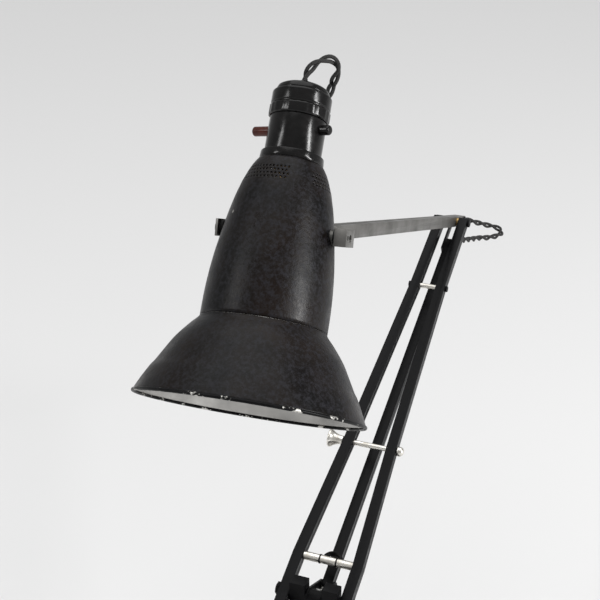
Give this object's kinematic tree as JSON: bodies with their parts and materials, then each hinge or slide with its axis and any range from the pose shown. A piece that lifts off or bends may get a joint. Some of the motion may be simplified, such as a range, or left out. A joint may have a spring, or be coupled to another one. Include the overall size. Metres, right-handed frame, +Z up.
{
  "type": "architect desk lamp",
  "caption": "Spring-balanced desk lamp: stepped square base, swivel stem, barred lower arm, square tube upper arm, and a long flared shade in a strap yoke.",
  "frame": {"origin": "centre of the base's underside, on the table and on the stem's swivel axis", "axes": "+Z up; +X from the stem towards the shade; +Y to the lamp's left, square to the arms' plane"},
  "size_m": [0.7043, 0.161, 0.6719],
  "materials": {
    "felt": "matt felt",
    "black_iron": "black stove enamel",
    "bronze": "turned",
    "rubber": "matt",
    "black_paint": "worn satin",
    "zinc_steel": "zinc plated",
    "plated_brass": "nickel plated, dulled",
    "grey_steel": "satin grey",
    "fibre": "vulcanised fibre",
    "shade_paint": "mottled black outside, bright inside",
    "bakelite": "polished black",
    "brown_bakelite": "polished brown",
    "bulb_metal": "stamped",
    "bulb_glass": "pearl",
    "spring_steel": "bright drawn wire",
    "braid": "braided cotton",
    "plug_rubber": "moulded",
    "plug_brass": "plain"
  },
  "bodies": {
    "base": {"base_felt": "felt", "base_weight": "black_iron", "swivel_bush": "bronze", "cord_gland": "rubber", "mains_lead": "braid", "mains_coil": "braid", "plug_body": "plug_rubber", "plug_pins": "plug_brass"},
    "stem": {"swivel_spindle": "zinc_steel", "stem_foot": "black_iron", "spring_anchors": "zinc_steel", "stem_cheek_left": "black_paint", "stem_cheek_right": "black_paint", "shoulder_axle": "zinc_steel", "shoulder_nuts": "zinc_steel", "outer_springs": "spring_steel", "centre_spring": "spring_steel", "flex_shoulder": "braid"},
    "lower_arm": {"lower_bar_left": "black_paint", "lower_bar_right": "black_paint", "spacer_low": "plated_brass", "spacer_mid": "plated_brass", "spacer_top": "plated_brass", "spacer_bolts": "black_paint", "dome_nut": "plated_brass", "spacer_rings": "black_paint", "guide_saddle": "black_paint", "tail_pins": "zinc_steel", "elbow_axle": "black_paint", "flex_elbow_lower": "braid"},
    "thumb_nut": {"thumb_nut": "plated_brass"},
    "crank": {"crank": "black_paint", "crank_pins": "zinc_steel"},
    "control_bar": {"control_bar": "black_paint", "crank_bush": "bronze"},
    "upper_arm": {"upper_tube": "grey_steel", "elbow_bush": "bronze", "tail_pin": "plated_brass", "tube_plug": "grey_steel", "flex_elbow_upper": "braid", "flex_head_rear": "braid"},
    "yoke": {"yoke_strap": "grey_steel", "yoke_stud": "plated_brass", "fibre_washers": "fibre", "pivot_knob": "bakelite", "pivot_screw": "zinc_steel"},
    "shade": {"shade_body": "shade_paint", "shade_flare": "shade_paint", "pivot_bosses": "grey_steel", "shade_ring": "bakelite", "holder_body": "bakelite", "holder_band": "bakelite", "holder_sleeve": "bakelite", "holder_cap": "bakelite", "cord_grip": "bakelite", "bulb_cap": "bulb_metal", "bulb_glass": "bulb_glass", "flex_head_front": "braid"},
    "switch_bar": {"switch_bar": "brown_bakelite"}
  },
  "joints": [
    {"name": "base_swivel", "type": "hinge", "parent": "base", "child": "stem", "pos_m": [0, 0, 0.06], "axis": [0, 0, 1], "range_deg": [-170, 170]},
    {"name": "shoulder", "type": "hinge", "parent": "stem", "child": "lower_arm", "pos_m": [0, 0, 0.205], "axis": [0, 1, 0], "range_deg": [-4, 58], "deforming": ["outer_springs", "flex_shoulder", "centre_spring"]},
    {"name": "elbow", "type": "hinge", "parent": "lower_arm", "child": "upper_arm", "pos_m": [-0.40895, 0, 0.40446], "axis": [0, 1, 0], "range_deg": [-45, 12], "deforming": ["flex_elbow_upper", "flex_elbow_lower"]},
    {"name": "control_bar_swing", "type": "hinge", "parent": "upper_arm", "child": "control_bar", "pos_m": [-0.43933, 0, 0.39441], "axis": [0, 1, 0], "range_deg": [-12, 45]},
    {"name": "crank_turn", "type": "hinge", "parent": "control_bar", "child": "crank", "pos_m": [-0.03038, 0, 0.19495], "axis": [0, 1, 0], "range_deg": [-45, 12]},
    {"name": "yoke_roll", "type": "hinge", "parent": "upper_arm", "child": "yoke", "pos_m": [0.02684, 0, 0.54858], "axis": [0.9494, 0, 0.314], "range_deg": [-25, 25], "deforming": ["flex_head_rear"]},
    {"name": "shade_tilt", "type": "hinge", "parent": "yoke", "child": "shade", "pos_m": [0.07326, -0.00016, 0.56715], "axis": [-0.0164, 0.9986, 0.0497], "range_deg": [-25, 32], "deforming": ["flex_head_front"]},
    {"name": "switch_push", "type": "slide", "parent": "shade", "child": "switch_bar", "axis": [0.1551, 0.9738, 0.1666], "range_m": [0, 0.006]},
    {"name": "thumb_nut_turn", "type": "hinge", "parent": "lower_arm", "child": "thumb_nut", "pos_m": [-0.14291, -0.02625, 0.2747], "axis": [0, 1, 0], "range_deg": [-180, 180]}
  ],
  "couplings": [
    {"joint": "control_bar_swing", "follows": "elbow", "ratio": -1},
    {"joint": "crank_turn", "follows": "elbow", "ratio": 1}
  ]
}
